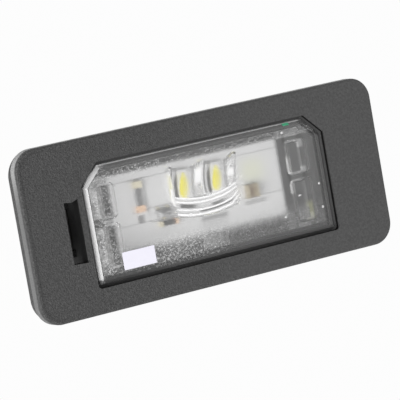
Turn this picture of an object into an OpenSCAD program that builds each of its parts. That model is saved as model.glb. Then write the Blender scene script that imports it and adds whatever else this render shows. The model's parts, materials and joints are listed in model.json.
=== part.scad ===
// Number plate lamp for a car body: a black moulded housing with a flush clear window,
// a white circuit board with two light-emitting diodes, a two-blade socket on the back,
// a hook at one end and a steel retaining spring at the other.
// Frame: +X along the length towards the hook, +Y towards the cut corners of the window,
// +Z out of the window. The origin is the centre of the gasket's seating face. All in mm.

/* [Bezel] */
// overall length of the bezel
bezel_l = 84; // [70:0.5:110]
// overall width of the bezel
bezel_w = 35; // [31:0.5:50]
// thickness of the bezel flange
bezel_t = 2.3; // [2:0.1:4]
// corner radius of the bezel
bezel_r = 4.5; // [2:0.1:8]
// rounding of the bezel's front edge
edge_r = 0.5; // [0.2:0.1:1.5]

/* [Gasket] */
// thickness of the foam gasket
gasket_t = 1.8; // [1:0.1:3]
// how far the gasket stands back from the bezel's edge
gasket_inset = 0.25; // [0.1:0.05:1.5]
// width of the gasket at the two ends
gasket_end = 5; // [2:0.1:6]
// corner radius of the gasket
gasket_r = 5.2; // [3:0.1:8]
// height of the rib that centres the gasket
rim_h = 1; // [0.4:0.1:1.2]
// gap between the rear box and the rib that centres the gasket
rim_gap = 0.5; // [0.3:0.05:1]
// clearance between that rib and the gasket
rim_clear = 0.25; // [0.1:0.05:0.4]
// corner radius of the opening in the gasket
hole_r = 3; // [2:0.1:5]
// thickness of the rib that centres the gasket
rim_t = 0.8; // [0.5:0.1:1]

/* [Window] */
// length of the window opening
window_l = 57.6; // [45:0.1:62]
// width of the window opening
window_w = 24.7; // [18:0.1:26]
// window centre along the length
window_x = 0.35; // [-2:0.05:2]
// window centre across the width
window_y = -0.1; // [-1:0.05:1]
// 45 degree cut on the two top corners
window_cut = 4.2; // [2:0.1:7]
// radius of the two bottom corners
window_r = 0.8; // [0.5:0.1:2]
// release slot width beside the window
slot_w = 3.3; // [2:0.1:4]
// release slot height
slot_h = 12.8; // [8:0.1:16]
// release slot centre across the width
slot_y = -0.4; // [-3:0.05:3]
// wall left between the release slot and the window
slot_wall = 1.15; // [1:0.05:2.5]
// how far the slot's left corners stand back from its full height
slot_dip = 0.23; // [0:0.01:0.6]

/* [Lens] */
// gap round the lens
lens_gap = 0.7; // [0.2:0.05:0.8]
// how far the lens lies below the bezel's face
lens_low = 0.1; // [0:0.05:0.5]
// thickness of the lens plate
lens_t = 1.25; // [0.8:0.05:1.6]
// small bevel on the lens's front edge
lens_edge = 0.7; // [0.2:0.05:0.9]
// thickness of the lens's skirt wall
skirt_t = 1.35; // [0.8:0.05:1.6]
// height of the lens from its seat to its face
skirt_h = 2.4; // [2:0.05:3]
// width of the ledge that carries the lens
ledge_w = 1.2; // [0.8:0.1:1.5]
// length of a stiffening frame under the lens
frame_l = 5; // [3.5:0.1:6]
// width of a frame's thick outer bar
frame_bar = 1.8; // [1.2:0.1:2.4]
// thickness of a frame's thin wall
frame_wall = 0.6; // [0.4:0.05:1.2]
// length of the two frames at the slot's end of the lens
frame_left_l = 4.1; // [3.2:0.1:5]
// width of the thick outer bar of those two
frame_left_bar = 1.2; // [0.8:0.1:1.8]
// drop of the frames below the lens plate
frame_drop = 0.9; // [0.6:0.1:2.5]
// distance from the window's end to a frame's outer side
frame_end = 3.8; // [2.4:0.1:4.5]
// outer corner radius of a frame
frame_r = 1.1; // [0.4:0.1:1.4]
// height of the two upper frames across the width
frame_hi_h = 7.2; // [5:0.1:8]
// centre of the two upper frames across the width
frame_hi_y = 4.1; // [3.7:0.1:5]
// height of the two lower frames across the width
frame_lo_h = 9; // [6:0.1:10]
// centre of the two lower frames across the width
frame_lo_y = -4.9; // [-5.5:0.1:-4.8]
// length of the lug at the lens's lower edge
lug_l = 5.3; // [4:0.1:7]
// reach of the lug inside the skirt
lug_w = 3.2; // [1.5:0.1:3.4]
// lug's centre from the window's centre along the length
lug_x = 0.45; // [-2:0.05:2]
// drop of the lug below the lens plate
lug_drop = 0.8; // [0.4:0.1:1.2]

/* [Circuit board] */
// length of the circuit board
board_l = 42.6; // [38:0.1:46]
// width of the circuit board
board_w = 15.9; // [13:0.1:18]
// thickness of the circuit board
board_t = 1.6; // [1:0.1:2]
// board's top below the bezel's face
board_deep = 5.5; // [5.2:0.1:6.5]
// board centre along the length
board_x = -0.8; // [-2:0.05:2]
// board centre across the width
board_y = 0.4; // [-1:0.05:1]
// depth of the two notches in the board's left end
notch_d = 3; // [2:0.1:4]
// height of each notch across the board
notch_h = 7.3; // [4:0.1:7.6]
// lower edge of the upper notch
notch_hi = -0.15; // [-0.4:0.05:2]
// upper edge of the lower notch
notch_lo = -1.3; // [-2.4:0.05:-0.9]
// corner radius of the notches
notch_r = 1; // [0.3:0.1:2]
// corner radius of the board
board_r = 0.6; // [0.3:0.05:1]
// free height under the board
board_air = 4; // [3:0.1:6]
// side of the square pillars that carry the board
pillar = 3; // [2:0.1:4]

/* [Light-emitting diodes] */
// centre of the pair along the length
led_x = 0.1; // [-2:0.05:2]
// centre of the pair across the width
led_y = 3.45; // [2:0.05:4]
// pitch of the two
led_pitch = 7.8; // [6:0.1:9]
// width of a package
led_w = 3.5; // [3.3:0.1:4]
// height of a package across the lamp
led_h = 6.2; // [5.8:0.1:7]
// thickness of a package
led_t = 0.9; // [0.6:0.05:1.2]
// width of the phosphor fill in its package at its lower end
phosphor_w = 2.75; // [2:0.05:2.8]
// height of the phosphor fill across the lamp
phosphor_h = 5.3; // [4.4:0.1:5.4]
// depth of the phosphor fill in its package
phosphor_t = 0.4; // [0.2:0.05:0.5]

/* [Optic] */
// length of the clear optic
optic_l = 15.8; // [14.5:0.1:18]
// centre of the optic along the length
optic_x = 0.5; // [-2:0.05:2]
// how much shorter than the upper edge the lower edge is at each end
optic_taper = 0.6; // [0:0.05:1.5]
// gap between the optic's flat front and the lens plate
optic_gap = 0.05; // [0.02:0.01:0.2]
// thickness of the optic at its ridges
optic_t = 1.9; // [1.4:0.05:2.2]
// thickness of the plate round the flutes
optic_plate = 0.6; // [0.4:0.05:0.8]
// upper edge of the optic, from the origin across the width
optic_top = 8.1; // [7.5:0.05:9]
// lower edge of the optic, from the origin across the width
optic_low = -3.55; // [-4:0.05:-2]
// where the flutes end above the inner lip
flute_low = 0.7; // [0.5:0.05:2]
// depth of the two scallops in the upper edge
scallop_d = 1.25; // [0.8:0.05:1.6]
// radius of the two scallops in the upper edge
scallop_r = 7.5; // [5:0.1:12]
// radius of the two concave flutes in front of the diodes
flute_r = 6.5; // [5:0.1:8]
// half the width of the ridge left between the flutes
ridge_half = 0.3; // [0.15:0.05:0.5]
// radius of the curved lips in plan
lip_r = 30; // [18:0.5:40]
// centre of the lips from the optic's centre along the length
lip_x = -0.3; // [-1:0.05:1]
// radius of the rounded bead on each lip
bead_r = 0.5; // [0.3:0.02:0.6]
// distance between the outer and the inner lip
lip_pitch = 3.2; // [2.6:0.05:3.6]
// width of the thin wings at the optic's two ends
wing_w = 0.7; // [0.4:0.05:1]

/* [Rear box and socket] */
// wall of the rear box
wall = 1.6; // [1.2:0.1:1.8]
// width of the collar that joins the rear box to the flange
collar_w = 0.5; // [0.3:0.05:0.5]
// floor of the rear box
floor_t = 1.4; // [1:0.1:2]
// length of the plug cavity
cavity_l = 16; // [12:0.5:20]
// width of the plug cavity
cavity_w = 10.6; // [9:0.1:12]
// height of the plug cavity
cavity_h = 5.6; // [5:0.1:7]
// wall of the socket
socket_wall = 1.2; // [0.8:0.1:1.6]
// outer corner radius of the socket
socket_r = 1; // [0.5:0.1:1.4]
// length of the ramp for the plug's latch
latch_l = 4; // [3:0.1:6]
// height of the ramp for the plug's latch
latch_h = 1; // [0.5:0.05:1.5]
// distance from the socket's mouth to the ramp's steep side
latch_back = 4.5; // [4:0.1:8]
// length of the solid root that holds the blades
root_l = 8; // [6:0.5:10]
// mouth of the socket along the length
mouth_x = 12; // [8:0.5:16]
// width of a blade
blade_w = 2.8; // [2:0.1:3.2]
// thickness of a blade
blade_t = 0.8; // [0.5:0.05:1]
// pitch of the two blades
blade_pitch = 5; // [4:0.1:6]
// free length of a blade in the cavity
blade_free = 7.5; // [5:0.1:10]
// clearance round a blade in the moulding
blade_clear = 0.05; // [0.02:0.01:0.1]
// radius of a solder joint where it meets the board
solder_r = 2.1; // [1.9:0.05:2.3]
// height of a solder joint
solder_h = 1; // [0.5:0.1:1.5]

/* [Fixing] */
// thickness of the car panel that the lamp is made for
panel_t = 1.6; // [0.8:0.1:2]
// reach of the hook beyond the rear box
hook_reach = 6; // [4:0.1:7]
// depth of the hook along Z
hook_h = 4.5; // [3:0.1:5.5]
// width of the hook
hook_w = 12; // [8:0.5:16]
// distance between the two guide ribs on a long side
rib_pitch = 34; // [20:0.5:44]
// width of a guide rib
rib_w = 1.6; // [1:0.1:2.4]
// how far a guide rib stands out from the box
rib_out = 0.45; // [0.2:0.05:0.5]
// length of a guide rib along Z
rib_l = 5; // [3:0.1:6]
// top of a guide rib below the seating face
rib_top = 0.1; // [0:0.05:0.5]
// thickness of the spring's steel strip
spring_t = 0.5; // [0.3:0.05:0.8]
// width of the spring
spring_w = 8; // [6:0.1:10]
// reach of the spring's crest beyond the rear box
spring_reach = 6.2; // [5:0.1:6.8]
// wall of the two cheeks beside the spring
cheek_t = 1.2; // [0.8:0.1:1.6]
// reach of the two cheeks beyond the rear box
cheek_reach = 3.4; // [2.5:0.1:3.8]
// clearance between the spring and its cheeks
spring_clear = 0.25; // [0.1:0.05:0.4]

/* [Small parts on the board] */
// left resistor: centre on the board
resistor_at = [-13.4, 3.05]; // [-20:0.05:20]
// small diode: centre on the board
diode_at = [-7.65, -3.4]; // [-20:0.05:20]
// capacitor: centre on the board
capacitor_at = [12.8, -1.05]; // [-20:0.05:20]
// driver chip: centre on the board
driver_at = [-8.35, -1.2]; // [-20:0.05:20]
// left resistor: length of its ceramic slab
res_l = 6.1; // [4:0.1:7]
// left resistor: width
res_w = 1.8; // [1.5:0.1:2.6]
// left resistor: thickness of its ceramic slab
res_t = 0.6; // [0.4:0.05:0.8]
// length of the resistor's wrapped ends
res_end = 1.25; // [0.6:0.05:1.6]
// wall of the tinned ends on all three chips
tin_t = 0.08; // [0.04:0.01:0.12]
// small diode: length
dio_l = 4.1; // [2.6:0.1:4.4]
// small diode: width
dio_w = 0.9; // [0.8:0.1:1.6]
// small diode: thickness
dio_t = 0.7; // [0.5:0.05:1]
// length of the diode's wrapped ends
dio_end = 0.6; // [0.3:0.05:0.9]
// capacitor: length
cap_l = 2.6; // [2.2:0.1:4]
// capacitor: width
cap_w = 2.6; // [1.6:0.1:3]
// capacitor: thickness
cap_t = 1.1; // [0.6:0.05:1.6]
// length of the capacitor's wrapped ends
cap_end = 0.5; // [0.3:0.05:0.8]
// driver chip: length of its body
chip_l = 3.4; // [2.2:0.1:3.8]
// driver chip: width of its body
chip_w = 1.6; // [1:0.1:1.8]
// driver chip: height of its body
chip_t = 0.9; // [0.6:0.05:1.2]
// driver chip: reach of a leg
leg_reach = 0.6; // [0.4:0.05:0.8]
// driver chip: pitch of the pair of legs
leg_pitch = 2.2; // [1.4:0.1:2.6]
// driver chip: width of a leg
leg_w = 0.45; // [0.3:0.05:0.6]
// driver chip: thickness of a leg's sheet
leg_t = 0.15; // [0.1:0.01:0.25]

/* [Hidden] */
$fn = 64;

over = 1; // how far a cut runs past the face it opens
face_z = gasket_t + bezel_t;
lens_z = face_z - lens_low;
ledge_z = lens_z - skirt_h;
under_z = lens_z - lens_t;
board_z = face_z - board_deep;
back_z = board_z - board_t;
floor_z = back_z - board_air;
rear_z = floor_z - floor_t;
socket_z = rear_z - cavity_h - socket_wall;
blade_z = rear_z - cavity_h / 2;
box_out = wall - ledge_w;
box_end = window_l / 2 + box_out;
socket_h = cavity_h + socket_wall + floor_t;
root_x = mouth_x - cavity_l;
slot_x = window_x - window_l / 2 - slot_wall - slot_w / 2;
optic_front = under_z - optic_gap;
lip_half = optic_l / 2 - optic_taper;
blade_root_x = root_x - root_l / 2;

black = [0.09, 0.09, 0.095];
foam = [0.2, 0.2, 0.2];
clear = [0.85, 0.9, 0.95, 0.35];
white = [0.9, 0.9, 0.88];
yellow = [0.93, 0.86, 0.35];
tin = [0.78, 0.77, 0.74];
steel = [0.62, 0.63, 0.65];

// a rectangle with four equal rounded corners
module rounded2d(l, w, r) {
  square([l - 2 * r, w], center = true);
  square([l, w - 2 * r], center = true);
  for (sx = [-1, 1], sy = [-1, 1])
    translate([sx * (l / 2 - r), sy * (w / 2 - r)])
      circle(r);
}

// the window's outline moved inwards by g: two cut corners above, two rounded ones below
module window2d(g) {
  hl = window_l / 2 - g;
  hw = window_w / 2 - g;
  cut = window_cut - g * (2 - sqrt(2));
  r = max(window_r - g, 0.25);
  translate([window_x, window_y]) {
    polygon([
      [-hl, -hw + r], [-hl + r, -hw], [hl - r, -hw], [hl, -hw + r],
      [hl, hw - cut], [hl - cut, hw], [-hl + cut, hw], [-hl, hw - cut]
    ]);
    for (s = [-1, 1])
      translate([s * (hl - r), -hw + r])
        circle(r);
  }
}

// half of a flange's section with its front edge rounded
module edge2d(r, h, e) {
  difference() {
    square([r, h]);
    translate([r - e, h - e])
      difference() {
        square([e + over, e + over]);
        circle(e);
      }
  }
}

// one pair of opposite sides of the flange, w apart, extruded over the length l
module flange_bar(w, l) {
  rotate([90, 0, 90])
    linear_extrude(l, center = true) {
      for (s = [0, 1])
        mirror([s, 0])
          translate([w / 2 - bezel_r, 0])
            edge2d(bezel_r, bezel_t, edge_r);
      translate([-w / 2 + bezel_r, 0])
        square([w - 2 * bezel_r, bezel_t]);
    }
}

module flange() {
  flange_bar(bezel_w, bezel_l - 2 * bezel_r);
  rotate([0, 0, 90])
    flange_bar(bezel_l, bezel_w - 2 * bezel_r);
  for (sx = [-1, 1], sy = [-1, 1])
    translate([sx * (bezel_l / 2 - bezel_r), sy * (bezel_w / 2 - bezel_r), 0])
      rotate_extrude()
        edge2d(bezel_r, bezel_t, edge_r);
}

// the opening in the gasket, moved inwards by g on every side
module gasket_hole2d(g) {
  box_w = window_w + 2 * box_out + 2 * abs(window_y);
  rounded2d(
    bezel_l - 2 * (gasket_inset + gasket_end + g),
    box_w + 2 * (rim_gap + rim_t + rim_clear - g),
    hole_r - g
  );
}

module slot2d() {
  half = slot_w / 2;
  reach = slot_h / 2;
  translate([slot_x, slot_y])
    polygon([
      [-half, -reach + slot_dip], [half, -reach], [half, reach],
      [0, reach - 2 * slot_dip], [-half, reach - slot_dip]
    ]);
}

// hook that holds the lamp behind the edge of the car panel
module hook() {
  root = box_end - wall / 2;
  tip = box_end + hook_reach;
  top = -panel_t;
  nose = 1.1;
  translate([window_x, window_y, 0])
    rotate([90, 0, 0])
      linear_extrude(hook_w, center = true)
        polygon([
          [root, top], [tip - nose, top], [tip, top - nose * 0.8],
          [tip, top - nose * 1.4], [tip - hook_reach * 0.45, top - hook_h], [root, top - hook_h]
        ]);
}

// two cheeks and a shelf that hold the foot of the retaining spring
module spring_seat() {
  inner = spring_w + 2 * spring_clear;
  outer = inner + 2 * cheek_t;
  root = window_x - box_end;
  low = floor_z;
  high = -panel_t - 0.4;
  for (s = [-1, 1])
    translate([root, slot_y + s * (inner + cheek_t) / 2, 0])
      rotate([90, 0, 0])
        linear_extrude(cheek_t, center = true)
          polygon([
            [wall / 2, high], [-cheek_reach * 0.35, high], [-cheek_reach, high - 1.6],
            [-cheek_reach, rear_z], [wall / 2, rear_z]
          ]);
  translate([root - cheek_reach, slot_y - outer / 2, rear_z])
    cube([cheek_reach + wall / 2, outer, low - rear_z]);
}

// ribs on the box's two long sides that centre it in the panel's cut-out
module guide_ribs() {
  for (sx = [-1, 1], sy = [0, 1])
    translate([window_x + sx * rib_pitch / 2, window_y, 0])
      mirror([0, sy, 0])
        translate([0, window_w / 2 + box_out, 0])
          rotate([90, 0, 90])
            linear_extrude(rib_w, center = true)
              polygon([
                [-wall / 2, -rib_top], [rib_out, -rib_top], [rib_out, -rib_top - rib_l * 0.5],
                [0, -rib_top - rib_l], [-wall / 2, -rib_top - rib_l]
              ]);
}

module housing_solid() {
  translate([0, 0, gasket_t])
    flange();
  translate([0, 0, rear_z])
    linear_extrude(gasket_t + bezel_t / 2 - rear_z)
      window2d(-box_out);
  // collar under the flange, and outside it the rib that centres the gasket
  translate([0, 0, gasket_t - rim_h])
    linear_extrude(rim_h + bezel_t / 2) {
      window2d(-box_out - collar_w);
      difference() {
        gasket_hole2d(rim_clear);
        gasket_hole2d(rim_clear + rim_t);
      }
    }
  hook();
  spring_seat();
  translate([root_x - root_l, 0, socket_z + socket_h / 2])
    rotate([90, 0, 90])
      linear_extrude(cavity_l + root_l)
        rounded2d(cavity_w + 2 * socket_wall, socket_h, socket_r);
  // ramp that the plug's latch snaps over
  translate([mouth_x - latch_back, cavity_w / 2 + socket_wall, blade_z])
    linear_extrude(cavity_h / 2, center = true)
      polygon([
        [0, -socket_wall / 2], [latch_l, -socket_wall / 2], [latch_l, 0],
        [latch_l * 0.3, latch_h], [0, latch_h]
      ]);
  guide_ribs();
}

module housing_cuts() {
  translate([0, 0, ledge_z])
    linear_extrude(skirt_h + lens_low + over)
      window2d(0);
  translate([0, 0, floor_z])
    linear_extrude(ledge_z - floor_z + over / 2)
      window2d(ledge_w);
  translate([0, 0, gasket_t - over])
    linear_extrude(bezel_t + 2 * over)
      slot2d();
  translate([root_x, 0, blade_z])
    rotate([90, 0, 90])
      linear_extrude(cavity_l + over)
        rounded2d(cavity_w, cavity_h, socket_r / 2);
  // blind relief in the socket's root
  translate([root_x - root_l - over, -cavity_w / 2, socket_z + socket_wall])
    cube([root_l * 0.3 + over, cavity_w, cavity_h]);
  for (s = [-1, 1])
    translate([0, s * blade_pitch / 2, 0]) {
      translate([
        blade_root_x - blade_t / 2 - blade_clear, -blade_w / 2 - blade_clear,
        blade_z - blade_t / 2 - blade_clear
      ])
        cube([blade_t + 2 * blade_clear, blade_w + 2 * blade_clear, floor_z - blade_z + blade_t]);
      translate([blade_root_x, -blade_w / 2 - blade_clear, blade_z - blade_t / 2 - blade_clear])
        cube([root_x - blade_root_x + over, blade_w + 2 * blade_clear, blade_t + 2 * blade_clear]);
    }
}

module housing() {
  color(black) {
    difference() {
      housing_solid();
      housing_cuts();
    }
    // pillars under the board
    for (sx = [-1, 1], sy = [-1, 1])
      translate([
        board_x + sx * (board_l / 2 - notch_d - pillar) - pillar / 2,
        board_y + sy * (board_w / 2 - pillar) - pillar / 2,
        floor_z - floor_t / 2
      ])
        cube([pillar, pillar, board_air + floor_t / 2]);
    // key rib in the plug cavity
    translate([root_x - over / 2, cavity_w / 2 - 1.1, socket_z + socket_wall / 2])
      cube([cavity_l * 0.8, 0.9, socket_wall / 2 + 0.9]);
  }
}

module gasket() {
  color(foam)
    linear_extrude(gasket_t)
      difference() {
        rounded2d(bezel_l - 2 * gasket_inset, bezel_w - 2 * gasket_inset, gasket_r);
        gasket_hole2d(0);
      }
}

// plan of one stiffening frame: a thick outer bar and a thin wall round the rest
module frame2d(l, h, bar) {
  difference() {
    translate([-l / 2, 0])
      rounded2d(l, h, frame_r);
    translate([-l + frame_wall, -h / 2 + frame_wall])
      square([l - frame_wall - bar, h - 2 * frame_wall]);
  }
}

// an upper and a lower frame, the thick bars at the right, at x = 0
module frame_pair(l, bar) {
  linear_extrude(frame_drop + lens_t / 2) {
    translate([0, frame_hi_y])
      frame2d(l, frame_hi_h, bar);
    translate([0, frame_lo_y])
      frame2d(l, frame_lo_h, bar);
  }
}

module lens_frames() {
  translate([window_x + window_l / 2 - frame_end, 0, under_z - frame_drop])
    frame_pair(frame_l, frame_bar);
  translate([window_x - window_l / 2 + frame_end, 0, under_z - frame_drop])
    mirror([1, 0, 0])
      frame_pair(frame_left_l, frame_left_bar);
}

module lens() {
  hl = window_l / 2 - lens_gap;
  hw = window_w / 2 - lens_gap;
  color(clear) {
    difference() {
      translate([0, 0, ledge_z])
        linear_extrude(skirt_h)
          window2d(lens_gap);
      translate([0, 0, ledge_z - over])
        linear_extrude(skirt_h - lens_t + over)
          window2d(lens_gap + skirt_t);
      // bevels along the straight front edges
      for (s = [-1, 1]) {
        translate([window_x, window_y + s * hw, lens_z])
          rotate([45, 0, 0])
            cube([window_l, lens_edge * sqrt(2), lens_edge * sqrt(2)], center = true);
        translate([window_x + s * hl, window_y, lens_z])
          rotate([0, 45, 0])
            cube([lens_edge * sqrt(2), window_w, lens_edge * sqrt(2)], center = true);
        translate([
          window_x + s * (hl - (window_cut - lens_gap * (2 - sqrt(2))) / 2),
          window_y + hw - (window_cut - lens_gap * (2 - sqrt(2))) / 2,
          lens_z
        ])
          rotate([0, 0, -45 * s])
            rotate([45, 0, 0])
              cube([window_cut * 2, lens_edge * sqrt(2), lens_edge * sqrt(2)], center = true);
      }
    }
    lens_frames();
    // gate lug at the lower edge
    translate([
      window_x + lug_x - lug_l / 2, window_y - window_w / 2 + lens_gap + skirt_t / 2,
      under_z - lug_drop
    ])
      cube([lug_l, skirt_t / 2 + lug_w, lug_drop + lens_t / 2]);
  }
}

// plan of the optic: two scallops above and one long curve below
module optic2d() {
  difference() {
    intersection() {
      polygon([
        [-optic_l / 2, optic_top], [lip_x - lip_half, optic_low],
        [lip_x + lip_half, optic_low], [optic_l / 2, optic_top]
      ]);
      translate([lip_x, optic_low + lip_r])
        circle(lip_r, $fn = 128);
    }
    for (s = [-1, 1])
      translate([s * optic_l / 4, optic_top - scallop_d + scallop_r])
        circle(scallop_r, $fn = 96);
  }
}

// a rounded bead along an arc of the lip radius, its middle at height y
module lip_bead(y) {
  turn = asin((lip_half - bead_r / 2) / lip_r);
  translate([lip_x, y + lip_r, 0])
    rotate([0, 0, -90 - turn])
      rotate_extrude(angle = 2 * turn, $fn = 128)
        translate([lip_r, 0])
          circle(bead_r, $fn = 32);
}

module led_optic() {
  half = optic_l / 4 - ridge_half;
  back = optic_front - optic_t;
  wing_h = (optic_top - optic_low) / 2;
  wing_low = optic_low + 1.2;
  wing_top = wing_low + wing_h;
  wing_out = (optic_l + wing_w) / 2;
  color(clear)
    translate([optic_x, 0, 0]) {
      translate([0, 0, optic_front - optic_plate])
        linear_extrude(optic_plate)
          optic2d();
      difference() {
        translate([0, 0, back])
          linear_extrude(optic_t - optic_plate / 2)
            intersection() {
              optic2d();
              translate([-optic_l / 2, flute_low])
                square([optic_l, optic_top - flute_low]);
            }
        for (s = [-1, 1])
          translate([s * optic_l / 4, flute_low - over, back - sqrt(pow(flute_r, 2) - pow(half, 2))])
            rotate([-90, 0, 0])
              cylinder(h = optic_top - flute_low + 2 * over, r = flute_r, $fn = 128);
      }
      for (k = [0, 1])
        translate([0, 0, optic_front - optic_plate])
          lip_bead(optic_low + bead_r + 0.1 + k * lip_pitch);
      // thin wings that follow the slanting ends
      translate([0, 0, optic_front - optic_plate])
        linear_extrude(optic_plate)
          for (s = [-1, 1])
            polygon([
              [s * lip_half - s * bead_r, wing_low], [s * lip_half, wing_low],
              [s * wing_out, wing_top - wing_h * 0.4], [s * wing_out, wing_top],
              [s * lip_half - s * bead_r, wing_top]
            ]);
    }
}

module circuit_board() {
  left = board_x - board_l / 2;
  color(white)
    translate([0, 0, back_z])
      linear_extrude(board_t)
        difference() {
          translate([board_x, board_y])
            rounded2d(board_l, board_w, board_r);
          for (low = [notch_hi, notch_lo - notch_h])
            translate([left, low + notch_h / 2])
              rounded2d(2 * notch_d, notch_h, notch_r);
        }
}

// rounded, tapering outline of a phosphor fill
module phosphor2d() {
  narrowing = 0.22;
  lean = 0.3;
  polygon([
    for (i = [0:35])
      let (a = i * 10, up = (sin(a) + 1) / 2)
        [phosphor_w / 2 * (cos(a) * (1 - narrowing * up) + lean * up), phosphor_h / 2 * sin(a)]
  ]);
}

module led_at(s) {
  translate([led_x + s * led_pitch / 2, led_y, board_z])
    children();
}

module led_package(s) {
  color(white)
    led_at(s)
      difference() {
        linear_extrude(led_t)
          rounded2d(led_w, led_h, 0.3);
        translate([0, 0, led_t - phosphor_t])
          linear_extrude(phosphor_t + over)
            phosphor2d();
      }
}

module led_phosphor(s) {
  color(yellow)
    led_at(s)
      translate([0, 0, led_t - phosphor_t])
        linear_extrude(phosphor_t)
          phosphor2d();
}

// a chip's plain slab: length along X, centred, standing tin_t above the board
module chip_slab(l, w, t) {
  translate([-l / 2, -w / 2, tin_t])
    cube([l, w, t]);
}

// the tinned end that wraps round one end of a slab, on the side s
module chip_end(l, w, t, reach, s) {
  difference() {
    translate([s > 0 ? l / 2 - reach : -l / 2 - tin_t, -w / 2 - tin_t, 0])
      cube([reach + tin_t, w + 2 * tin_t, t + 2 * tin_t]);
    chip_slab(l, w, t);
  }
}

module at_resistor() {
  translate([resistor_at[0], resistor_at[1], board_z])
    rotate([0, 0, 90])
      children();
}

module at_diode() {
  translate([diode_at[0], diode_at[1], board_z])
    children();
}

module at_capacitor() {
  translate([capacitor_at[0], capacitor_at[1], board_z])
    children();
}

module at_driver() {
  translate([driver_at[0], driver_at[1], board_z])
    children();
}

module resistor_slab() {
  color(black)
    at_resistor()
      chip_slab(res_l, res_w, res_t);
}

module resistor_end(s) {
  color(tin)
    at_resistor()
      chip_end(res_l, res_w, res_t, res_end, s);
}

module diode_body() {
  color(black)
    at_diode()
      chip_slab(dio_l, dio_w, dio_t);
}

module diode_end(s) {
  color(tin)
    at_diode()
      chip_end(dio_l, dio_w, dio_t, dio_end, s);
}

module capacitor_body() {
  color([0.45, 0.33, 0.25])
    at_capacitor()
      chip_slab(cap_l, cap_w, cap_t);
}

module capacitor_end(s) {
  color(tin)
    at_capacitor()
      chip_end(cap_l, cap_w, cap_t, cap_end, s);
}

module driver_chip() {
  color(black)
    at_driver()
      translate([-chip_l / 2, -chip_w / 2, leg_t])
        cube([chip_l, chip_w, chip_t - leg_t]);
}

// one gull-wing leg seen from the side, its foot on the board
module leg2d() {
  half = chip_w / 2;
  mid = chip_t / 2;
  polygon([
    [half, mid], [half + leg_reach * 0.4, mid], [half + leg_reach * 0.4, leg_t],
    [half + leg_reach, leg_t], [half + leg_reach, 0], [half + leg_reach * 0.4 - leg_t, 0],
    [half + leg_reach * 0.4 - leg_t, mid - leg_t], [half, mid - leg_t]
  ]);
}

module driver_chip_legs() {
  color(tin)
    at_driver()
      for (leg = [[-1, 0], [1, 0], [0, 1]])
        translate([leg[0] * leg_pitch / 2, 0, 0])
          mirror([0, leg[1], 0])
            rotate([90, 0, 90])
              linear_extrude(leg_w, center = true)
                leg2d();
}

// an L-shaped blade: up to the board's back, then out into the plug cavity
module contact_blade(s) {
  tip = root_x + blade_free;
  taper = blade_w * 0.22;
  color(tin)
    translate([0, s * blade_pitch / 2, 0]) {
      translate([0, 0, blade_z - blade_t / 2])
        linear_extrude(blade_t)
          polygon([
            [blade_root_x - blade_t / 2, -blade_w / 2], [tip - 1.2, -blade_w / 2],
            [tip, -blade_w / 2 + taper], [tip, blade_w / 2 - taper],
            [tip - 1.2, blade_w / 2], [blade_root_x - blade_t / 2, blade_w / 2]
          ]);
      translate([blade_root_x - blade_t / 2, -blade_w / 2, blade_z])
        cube([blade_t, blade_w, back_z - blade_z]);
    }
}

module solder_joint(s) {
  color(tin)
    translate([blade_root_x, s * blade_pitch / 2, back_z - solder_h])
      difference() {
        cylinder(h = solder_h, r1 = blade_w / 2 + 0.1, r2 = solder_r);
        translate([-blade_t / 2, -blade_w / 2, -over])
          cube([blade_t, blade_w, solder_h + 2 * over]);
      }
}

// points of an arc about c from angle a0 to a1
function arc(c, r, a0, a1, n = 8) =
  [for (i = [0:n]) let (a = a0 + (a1 - a0) * i / n) [c[0] + r * cos(a), c[1] + r * sin(a)]];

// side view of the spring: foot against the box, bend on the shelf, leg out to the crest
module spring2d() {
  t = spring_t;
  x0 = window_x - box_end - spring_clear;
  z0 = floor_z + t + 0.02;
  foot_top = -panel_t - 1.2;
  bend = (cheek_reach - spring_clear - t) / 2;
  cx = x0 - bend;
  crest = window_x - box_end - spring_reach;
  in = [
    [x0 - t, foot_top], each arc([cx, z0 + bend - t], bend - t, 0, -180),
    [crest + t, -panel_t - 1.4], [crest + t, -panel_t - 0.9], [crest + t + 2.4, -0.6]
  ];
  out = [
    [crest + 2.2, -0.25], [crest, -panel_t - 0.7], [crest, -panel_t - 1.6],
    each arc([cx, z0 + bend - t], bend, -180, 0), [x0, foot_top]
  ];
  polygon(concat(in, out));
}

module retaining_spring() {
  color(steel)
    translate([0, slot_y, 0])
      rotate([90, 0, 0])
        linear_extrude(spring_w, center = true)
          spring2d();
}

housing();
gasket();
lens();
led_optic();
circuit_board();
led_package(-1);  // led_package_left
led_package(1);  // led_package_right
led_phosphor(-1);  // led_phosphor_left
led_phosphor(1);  // led_phosphor_right
resistor_slab();
resistor_end(1);  // resistor_end_upper
resistor_end(-1);  // resistor_end_lower
diode_body();
diode_end(-1);  // diode_end_left
diode_end(1);  // diode_end_right
capacitor_body();
capacitor_end(-1);  // capacitor_end_left
capacitor_end(1);  // capacitor_end_right
driver_chip();
driver_chip_legs();
contact_blade(1);  // contact_blade_upper
contact_blade(-1);  // contact_blade_lower
solder_joint(1);  // solder_joint_upper
solder_joint(-1);  // solder_joint_lower
retaining_spring();
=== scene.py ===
"""Number plate lamp: the looks of its pieces, the light and the photograph's camera.

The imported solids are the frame. Positions here are in millimetres in the frame's axes
(+X along the lamp, +Y towards the cut corners, +Z out of the window) and become metres
where a mesh is written.
"""

import json
from types import SimpleNamespace

import bpy
import numpy as np
from mathutils import Matrix, Vector


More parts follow.
